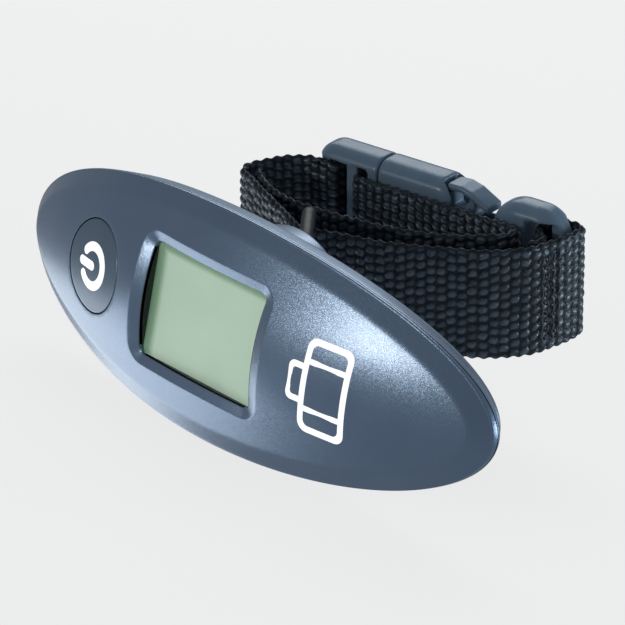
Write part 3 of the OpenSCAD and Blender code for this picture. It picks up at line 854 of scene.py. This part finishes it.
def webbing():
    step = 0.27
    pts, st = path(PL, step)
    HW = 12.55
    nw = 96
    T = 0.52
    rnd = np.random.RandomState(3)
    jit = rnd.rand(400, 40)

    def crown(sv, w, side):
        """height of the woven crowns at arc length sv and width w"""
        if side < 0:
            sv = sv + 1.1
        c = sv / 2.2
        best = 0.0
        tone = 0.0
        for i in (math.floor(c), math.floor(c) + 1):
            ph = 0.5 if (int(i) // 2) % 2 else 0.0
            r = w / 2.05 + ph
            for j in (math.floor(r), math.floor(r) + 1):
                wc = (j - ph) * 2.05
                q = jit[int(i) % 400, int(j) % 40]
                q2 = jit[(int(i) * 7 + 3) % 400, (int(j) * 5 + 1) % 40]
                a_ = abs(sv - i * 2.2 - 0.3 * (q - 0.5) + 0.22 * (w - wc)) / 1.12
                b_ = abs(w - wc - 0.2 * (q2 - 0.5)) / 0.94
                e = a_ ** 2.5 + b_ ** 2.3
                if e < 1:
                    h = (1 - e) ** 0.85 * (0.36 + 0.20 * q)
                    if h > best:
                        best = h
                        tone = 0.75 + 0.50 * q2
        return best, tone
    s = Shape()
    m = len(pts)
    rows = []
    lift = []
    for k, (x, v, tx, tv) in enumerate(pts):
        nx, nv = -tv, tx
        sv = k * st
        edge = HW + 0.20 * math.sin(2 * math.pi * sv / 2.5)
        wob = 0.0
        row = []
        for side in (1, -1):
            seq = range(nw + 1) if side > 0 else range(nw, -1, -1)
            for q in seq:
                u = -1 + 2 * q / nw
                w = u * edge
                h, tone = crown(sv, u * HW, side)
                tt = T
                m_ = (1 - abs(u)) * HW
                if m_ < 0.8:
                    tt = T * math.sqrt(max(0.0, 1 - (1 - m_ / 0.8) ** 2)) * 0.85 + 0.05
                    h *= m_ / 0.8
                off = side * (tt + h)
                # crown height times a random tone per crown, which the material uses to paint shade into the valleys
                lift.append(h / 0.52 * tone)
                row.append(G(x + nx * off, v + nv * off, w))
        rows.append(s.ring(row))
    for a_, b_ in zip(rows, rows[1:]):
        s.join(a_, b_)
    for end in (rows[0], rows[-1]):
        n = len(end)
        for k in range(n // 2 - 1):
            s.f.append((end[k], end[k + 1], end[n - 2 - k], end[n - 1 - k]))
    o = make("strap_web", s.v, s.f, M_WEB, "strap", ["strap_webbing"], sharp=180)
    if len(o.data.vertices) == len(lift):
        at = o.data.attributes.new("crown", "FLOAT", "POINT")
        at.data.foreach_set("value", lift)
    else:
        print("webbing: crown heights not stored", len(o.data.vertices), len(lift))
    return o


def tube(s, P, r, nn=8):
    """smooth round strand through points P with rounded ends"""
    P = [Vector(p) for p in P]
    prev = None
    rings = []
    m = len(P)
    for k, p in enumerate(P):
        d = (P[min(k + 1, m - 1)] - P[max(k - 1, 0)]).normalized()
        if prev is None:
            prev = d.orthogonal().normalized()
        e1 = (prev - d * prev.dot(d)).normalized()
        prev = e1
        e2 = d.cross(e1)
        rr = r * (0.45 if k in (0, m - 1) else 1.0)
        rings.append([tuple(p + (e1 * math.cos(2 * math.pi * j / nn) + e2 * math.sin(2 * math.pi * j / nn)) * rr) for j in range(nn)])
    ids = s.lathe(rings)
    s.cap(ids[0])
    s.cap(list(reversed(ids[-1])))


def stitching():
    """bar tack rows on the outside of the sewn end"""
    s = Shape()
    for row in range(4):
        v = 43.3 + 1.5 * row
        xo = 25.24 + (v - 41) / 30 + 0.95
        n = 10
        for k in range(n):
            w0 = -10 + 20 * k / n + 0.12
            w1 = w0 + 20 / n - 0.24
            dv = 0.28
            pts = []
            for j in range(6):
                f = j / 5
                lift = 0.18 * math.sin(math.pi * f)
                pts.append(G(xo + lift, v - dv + 2 * dv * f if k % 2 else v + dv - 2 * dv * f, w0 + (w1 - w0) * f))
            tube(s, pts, 0.22)
    return make("strap_bar_tack", s.v, s.f, M_THREAD, "strap", ["strap_stitching"], sharp=60)


# ---------------------------------------------------------------- buckle, by distance fields
def vox(lo, hi, h):
    ax = [np.arange(lo[i], hi[i] + h, h) for i in range(3)]
    return np.meshgrid(*ax, indexing="ij")


def rbox(P, lo, hi, r):
    q = []
    for i in range(3):
        c, hh = (lo[i] + hi[i]) / 2, (hi[i] - lo[i]) / 2
        q.append(np.abs(P[i] - c) - (hh - r))
    out = np.sqrt(sum(np.maximum(x, 0) ** 2 for x in q))
    return out + np.minimum(np.maximum(np.maximum(q[0], q[1]), q[2]), 0) - r


def plate(P, u0, u1, hn, hw, rc, re, pill=0.0):
    """plate in the u-w plane with corner radius rc, edges rounded by re"""
    cu, hu = (u0 + u1) / 2, (u1 - u0) / 2
    qu = np.abs(P[0] - cu) - (hu - rc)
    qw = np.abs(P[2]) - (hw - rc)
    d2 = np.sqrt(np.maximum(qu, 0) ** 2 + np.maximum(qw, 0) ** 2) + np.minimum(np.maximum(qu, qw), 0) - rc
    a_ = d2 + re
    b_ = np.abs(P[1]) - (hn - re)
    return np.sqrt(np.maximum(a_, 0) ** 2 + np.maximum(b_, 0) ** 2) + np.minimum(np.maximum(a_, b_), 0) - re


def sd_poly(U, W, pts):
    """signed distance to a closed outline in the u-w plane"""
    d = np.full(U.shape, 1e9)
    sgn = np.ones(U.shape)
    n = len(pts)
    for i in range(n):
        x0, y0 = pts[i]
        x1, y1 = pts[i - 1]
        ex, ey = x1 - x0, y1 - y0
        wx, wy = U - x0, W - y0
        t = np.clip((wx * ex + wy * ey) / (ex * ex + ey * ey), 0, 1)
        d = np.minimum(d, (wx - ex * t) ** 2 + (wy - ey * t) ** 2)
        c1, c2, c3 = W >= y0, W < y1, ex * wy > ey * wx
        flip = (c1 & c2 & c3) | (~c1 & ~c2 & ~c3)
        sgn = np.where(flip, -sgn, sgn)
    return sgn * np.sqrt(d)


def extr(d2, N, hn, re):
    a_ = d2 + re
    b_ = np.abs(N) - (hn - re)
    return np.sqrt(np.maximum(a_, 0) ** 2 + np.maximum(b_, 0) ** 2) + np.minimum(np.maximum(a_, b_), 0) - re


def smin(a_, b_, k):
    h = np.maximum(k - np.abs(a_ - b_), 0) / k
    return np.minimum(a_, b_) - h * h * k / 4


def cut(a_, b_, k=0.5):
    return -smin(-a_, b_, k)


def surface(D, lo, h):
    import openvdb
    gr = openvdb.FloatGrid(background=float(3 * h))
    gr.copyFromArray(np.clip(D, -3 * h, 3 * h).astype(np.float32))
    p, q = gr.convertToQuads(0.0)
    p = p * h + np.array(lo)
    return p, q


def buckle_piece(name, D, lo, h, body, rep):
    p, q = surface(D, lo, h)
    co, sn = math.cos(BANG), math.sin(BANG)
    x = BCX + p[:, 0] * co - p[:, 1] * sn
    v = BCV + p[:, 0] * sn + p[:, 1] * co
    w = p[:, 2]
    V = np.stack([x, 23 + CL * v - SL * w, SL * v + CL * w], 1)
    return make(name, [tuple(map(float, r)) for r in V], [tuple(int(i) for i in r) for r in q], M_BUCKLE, body, [rep], sharp=60)


def buckle():
    h = 0.28
    # socket half
    lo, hi = (-17.5, -6, -18), (33, 6, 18)
    P = vox(lo, hi, h)
    d = plate(P, -26, 4.2, 4.5, 16.5, 4.6, 3.4)
    d = cut(d, rbox(P, (-40, -9, -30), (-15.95, 9, 30), 0.1), 0.7)
    d = smin(d, plate(P, -6, 15, 4.0, 9.0, 1.5, 1.3), 1.6)
    d = smin(d, plate(P, 12.8, 31.5, 4.1, 16.2, 7.4, 3.4), 1.6)
    d = cut(d, rbox(P, (-20, -2.6, -13.6), (12.3, 2.6, 13.6), 0.3), 0.4)
    for sg in (1, -1):
        d = cut(d, rbox(P, (0.4, -2.9, 10.6 if sg > 0 else -30), (12.4, 2.9, 30 if sg > 0 else -10.6), 0.6), 0.5)
        # the fingers show through wide openings in the waist
        d = cut(d, rbox(P, (1.6, -3.2, 9.2 if sg > 0 else -30), (11.6, 3.2, 30 if sg > 0 else -9.2), 1.0), 0.5)
    d = cut(d, rbox(P, (22.5, -8, -13.4), (28, 8, 13.4), 0.8), 0.6)
    for sg in (1, -1):
        d = cut(d, rbox(P, (27.0, 2.0 if sg > 0 else -9, -13.4), (36, 9 if sg > 0 else -2.0, 13.4), 0.6), 0.6)
    buckle_piece("buckle_socket", d, lo, h, "strap", "buckle_female")
    # plug half
    lo, hi = (-34.5, -6, -18), (5.5, 6, 18)
    P = vox(lo, hi, h)
    d = plate(P, -33, -6, 4.5, 16.5, 4.2, 3.4)
    d = cut(d, rbox(P, (-16.2, -9, -30), (10, 9, 30), 0.1), 0.7)
    d = smin(d, rbox(P, (-18, -1.9, -2.4), (4, 1.9, 2.4), 0.6), 0.6)
    for sg in (1, -1):
        d = smin(d, rbox(P, (-18, -1.9, 7.4 if sg > 0 else -12.6), (-14.2, 1.9, 12.6 if sg > 0 else -7.4), 0.5), 0.6)
    d = cut(d, rbox(P, (-30.4, -8, -13.4), (-26.2, 8, 13.4), 0.8), 0.6)
    d = cut(d, rbox(P, (-23.1, -8, -13.4), (-18.9, 8, 13.4), 0.8), 0.6)
    for sg in (1, -1):
        d = cut(d, rbox(P, (-40, 2.1 if sg > 0 else -9, -13.4), (-18.95, 9 if sg > 0 else -2.1, 13.4), 0.5), 0.6)
    buckle_piece("buckle_plug", d, lo, h, "strap", "buckle_male")
    # spring fingers
    for sg, name, body, rep in ((1, "buckle_finger_top", "finger_top", "buckle_prong_top"), (-1, "buckle_finger_bottom", "finger_bottom", "buckle_prong_bottom")):
        lo = (-15, -3, 5 if sg > 0 else -18)
        hi = (13, 3, 18 if sg > 0 else -5)
        P = vox(lo, hi, h)
        W = P[2] * sg
        Q = (P[0], P[1], W)
        d = rbox(Q, (-13.7, -1.9, 7.9), (8.0, 1.9, 10.3), 0.7)
        # pressed rim on the outside, carried by a web
        d = smin(d, extr(sd_poly(P[0], W, [(6.2, 9.2), (6.6, 14.4), (8.3, 14.0), (8.0, 9.2)]), P[1], 1.9, 0.5), 0.9)
        d = smin(d, extr(sd_poly(P[0], W, [(1.3, 9.2), (1.3, 15.2), (2.6, 15.2), (2.6, 9.2)]), P[1], 1.9, 0.4), 0.9)
        rim = [(1.3, 14.0), (1.3, 15.6), (4.6, 15.7), (7.4, 15.0), (12.0, 12.6), (12.0, 11.0), (7.6, 13.2), (4.8, 14.2)]
        d = smin(d, extr(sd_poly(P[0], W, rim), P[1], 2.7, 0.6), 0.6)
        buckle_piece(name, d, lo, h, body, rep)


# ---------------------------------------------------------------- battery door
def battery_door():
    s = Shape()
    cx = 45.0
    # top disc with rounded rim and a coin slot
    slot_o = [(cx + x, z) for x, z in rrect(0.8, 6.5, 0.7, n=6, m=8)]
    outer = circ(11.75, cx, 0, 96)
    p, t, loops = region(outer, [slot_o], 0.9)
    i0 = len(s.v)
    s.v += [(x, 11.9, z) for x, z in p]
    for f in t:
        s.f.append(tuple(i0 + k for k in f))

    def rg(r, y, nn=96):
        return s.ring([(x, y, z) for x, z in circ(r, cx, 0, nn)])
    seq = [[i0 + k for k in loops[0]], rg(11.9, 11.86), rg(12.01, 11.75), rg(12.05, 11.6), rg(12.05, 9.95), rg(10.6, 9.95), rg(10.6, 8.1), rg(9.4, 8.1), rg(9.4, 9.4)]
    for a_, b_ in zip(seq, seq[1:]):
        s.join(a_, b_)
    s.fan(seq[-1], (cx, 9.4, 0))
    lo_ = s.ring([(x, 11.72, z) for x, z in [(cx + q[0], q[1]) for q in rrect(0.78, 6.48, 0.68, n=6, m=8)]])
    bot = s.ring([(x, 11.0, z) for x, z in [(cx + q[0], q[1]) for q in rrect(0.75, 6.45, 0.65, n=6, m=8)]])
    s.join([i0 + k for k in loops[1]], lo_)
    s.join(lo_, bot)
    s.fan(bot, (cx, 11.0, 0))
    return make("battery_cap_disc", s.v, s.f, M_REAR, "battery_cap", ["battery_door"])


front_shell()
rear_shell()
power_button()
power_symbol()
face_mark()
lcd()
webbing()
stitching()
buckle()
battery_door()

# ---------------------------------------------------------------- carried-over CAD nodes
CADM = {
    "lcd_frame": M_BLACK, "contact_strips": M_ELAST, "pcb": M_BOARD, "pcb_parts": M_PARTS, "chip": M_CHIP,
    "tact_switch": M_BLACK, "switch_plunger": M_CREAM, "load_cell": M_STEEL, "strain_gauges": M_FOIL,
    "load_cell_spacers": M_BRASS, "load_cell_screws": M_ZINC, "gauge_wires": M_WIRE, "hanger_eye": M_EYE,
    "hanger_washer": M_ZINC, "hanger_clip": M_ZINC, "strap_link": M_LINK, "coin_cell": M_STEEL,
    "contact_minus": M_BRASS, "contact_plus": M_BRASS, "battery_wires": M_WIRE, "case_screws": M_ZINC,
}
for n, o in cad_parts.items():
    o.data.materials.clear()
    o.data.materials.append(CADM.get(n, M_BLACK))
    for poly in o.data.polygons:
        poly.material_index = 0

# ---------------------------------------------------------------- stage, light, camera
def floor():
    me = bpy.data.meshes.new("floor")
    R = 6.0
    z = -0.02465
    me.from_pydata([(-R, -R, z), (R, -R, z), (R, R, z), (-R, R, z)], [], [(0, 1, 2, 3)])
    o = bpy.data.objects.new("floor", me)
    SC.collection.objects.link(o)
    m, nt, b, tc = base_mat("pale_floor")
    vary(nt, b, tc, (0.12, 0.12, 0.12), (0.125, 0.125, 0.125), 2.0, r0=0.9, r1=0.95)
    b.inputs["Specular IOR Level"].default_value = 0.0
    b.inputs["Emission Color"].default_value = (1, 1, 1, 1)
    b.inputs["Emission Strength"].default_value = FLOOR_E
    me.materials.append(m)
    # a translucent table: the low panel lights the object through it
    o.visible_shadow = False
    o.visible_glossy = False


FLOOR_E = 0.775
floor()

world = bpy.data.worlds.new("world")
SC.world = world
world.use_nodes = True
bg = world.node_tree.nodes["Background"]
bg.inputs["Color"].default_value = (0.90, 0.99, 1.10, 1)
bg.inputs["Strength"].default_value = 0.275
# the backdrop seen behind the table is as pale as the table
wt = world.node_tree
seen = wt.nodes.new("ShaderNodeBackground")
seen.inputs["Color"].default_value = (1, 1, 1, 1)
seen.inputs["Strength"].default_value = 0.83
wmix = wt.nodes.new("ShaderNodeMixShader")
wlp = wt.nodes.new("ShaderNodeLightPath")
wt.links.new(wlp.outputs["Is Camera Ray"], wmix.inputs[0])
wt.links.new(bg.outputs["Background"], wmix.inputs[1])
wt.links.new(seen.outputs["Background"], wmix.inputs[2])
wt.links.new(wmix.outputs["Shader"], wt.nodes["World Output"].inputs["Surface"])


def area(name, loc, target, sx, sy, power, col=(1, 1, 1)):
    l = bpy.data.lights.new(name, "AREA")
    l.shape = "RECTANGLE"
    l.size, l.size_y = sx, sy
    l.energy = power
    l.color = col
    o = bpy.data.objects.new(name, l)
    SC.collection.objects.link(o)
    o.location = loc
    d = Vector(target) - Vector(loc)
    o.rotation_mode = "QUATERNION"
    o.rotation_quaternion = d.to_track_quat("-Z", "Y")
    return o


def panel(name, at, az, el, dist, wid, hei, radiance, col=(1, 1, 1)):
    """soft panel seen from the point at, in the direction az, el"""
    a_, e_ = math.radians(az), math.radians(el)
    d = Vector((math.sin(a_) * math.cos(e_), -math.cos(a_) * math.cos(e_), math.sin(e_)))
    loc = Vector(at) + d * dist
    return area(name, loc, at, wid, hei, radiance * math.pi * wid * hei, col)


panel("soft_front", (0.045, -0.003, 0.014), -17, 6.5, 0.9, 0.16, 0.12, 27.0, (1.0, 0.95, 0.88))
panel("soft_low_left", (-0.02, -0.003, -0.01), -73, -34, 0.6, 0.62, 0.25, 1.8, (0.93, 0.97, 1.0))
panel("soft_back", (0.0, 0.01, 0.02), -129, 41, 0.85, 0.6, 0.5, 3.0, (0.95, 0.98, 1.0))
panel("soft_right", (0.025, 0.07, 0.0), 138, 8, 0.8, 0.35, 0.30, 10.0, (0.84, 0.94, 1.0))

cam = bpy.data.cameras.new("camera")
cam.sensor_width = 36
cam.lens = 311.13
cam.clip_start = 0.05
cam.clip_end = 30
co = bpy.data.objects.new("camera", cam)
SC.collection.objects.link(co)
R0 = Vector((0.654098, 0.738663, 0.162886))
R1 = Vector((-0.328899, 0.083821, 0.940638))
R2 = Vector((-0.681162, 0.668843, -0.297773))
rot = Matrix((R0, R1, -R2)).transposed()
co.matrix_world = Matrix.Translation((0.76725, -0.72818, 0.33638)) @ rot.to_4x4()
SC.camera = co
SC.view_settings.view_transform = "Standard"
SC.view_settings.look = "None"
